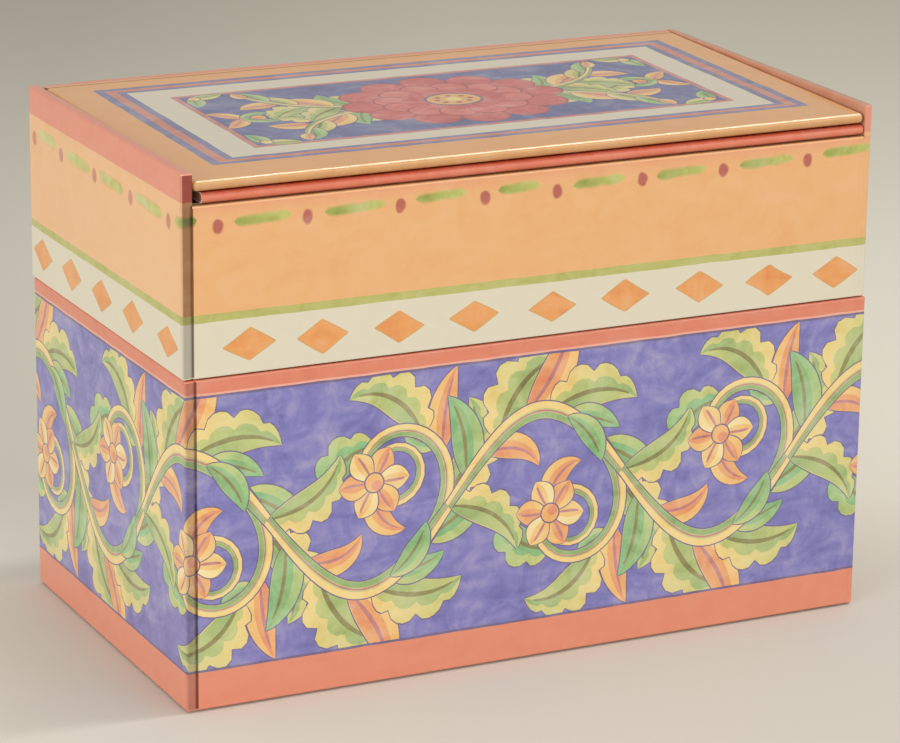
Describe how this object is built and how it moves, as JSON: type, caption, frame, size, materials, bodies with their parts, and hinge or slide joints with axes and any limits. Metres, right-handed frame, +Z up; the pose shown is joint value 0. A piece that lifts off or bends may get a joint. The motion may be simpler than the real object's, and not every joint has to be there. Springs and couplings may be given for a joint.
{
  "type": "recipe card box",
  "caption": "Paper-wrapped board box for recipe cards, with a cover hinged along its back seam, a flip-up top panel, tab dividers and card packets.",
  "frame": {"origin": "centre of the underside, on the surface the box stands on", "axes": "+X to the right along the front, +Y from the front to the hinged back, +Z up"},
  "size_m": [0.1784, 0.0972, 0.127],
  "materials": {
    "greyboard": "raw matte board",
    "lining_paper": "matte",
    "foot_paper": "matte",
    "base_print": "gloss-laminated printed paper",
    "cover_print": "gloss-laminated printed paper",
    "panel_print": "gloss-laminated printed paper",
    "coral_paper": "gloss-laminated printed paper",
    "hinge_paper": "satin",
    "card_stock": "uncoated",
    "divider_tint_1": "uncoated card",
    "divider_tint_2": "uncoated card",
    "divider_tint_3": "uncoated card",
    "divider_tint_4": "uncoated card",
    "divider_tint_5": "uncoated card",
    "divider_tint_6": "uncoated card"
  },
  "bodies": {
    "base": {"base_floor_board": "greyboard", "base_front_board": "greyboard", "base_back_board": "greyboard", "base_left_board": "greyboard", "base_right_board": "greyboard", "base_wrap": "base_print", "base_bottom_paper": "foot_paper", "base_lining": "lining_paper", "base_floor_lining": "lining_paper", "hinge_liner_lower": "hinge_paper", "card_packet_1": "card_stock", "card_packet_2": "card_stock", "card_packet_3": "card_stock", "card_packet_4": "card_stock", "card_packet_5": "card_stock", "card_packet_6": "card_stock", "divider_1": "divider_tint_1", "divider_2": "divider_tint_2", "divider_3": "divider_tint_3", "divider_4": "divider_tint_4", "divider_5": "divider_tint_5", "divider_6": "divider_tint_6"},
    "cover": {"cover_front_board": "greyboard", "cover_back_board": "greyboard", "cover_left_board": "greyboard", "cover_right_board": "greyboard", "cover_wrap": "cover_print", "cover_lining": "lining_paper", "hinge_liner_upper": "hinge_paper", "deck_board": "greyboard", "deck_wrap": "coral_paper", "deck_lining": "lining_paper", "panel_hinge_flap": "panel_print"},
    "top_panel": {"panel_board": "greyboard", "panel_wrap": "panel_print", "panel_lining": "lining_paper"}
  },
  "joints": [
    {"name": "cover_hinge", "type": "hinge", "parent": "base", "child": "cover", "pos_m": [0, 0.0486, 0.0795], "axis": [-1, 0, 0], "range_deg": [0, 105]},
    {"name": "panel_hinge", "type": "hinge", "parent": "cover", "child": "top_panel", "pos_m": [0, 0.0456, 0.127], "axis": [-1, 0, 0], "range_deg": [0, 110]}
  ]
}
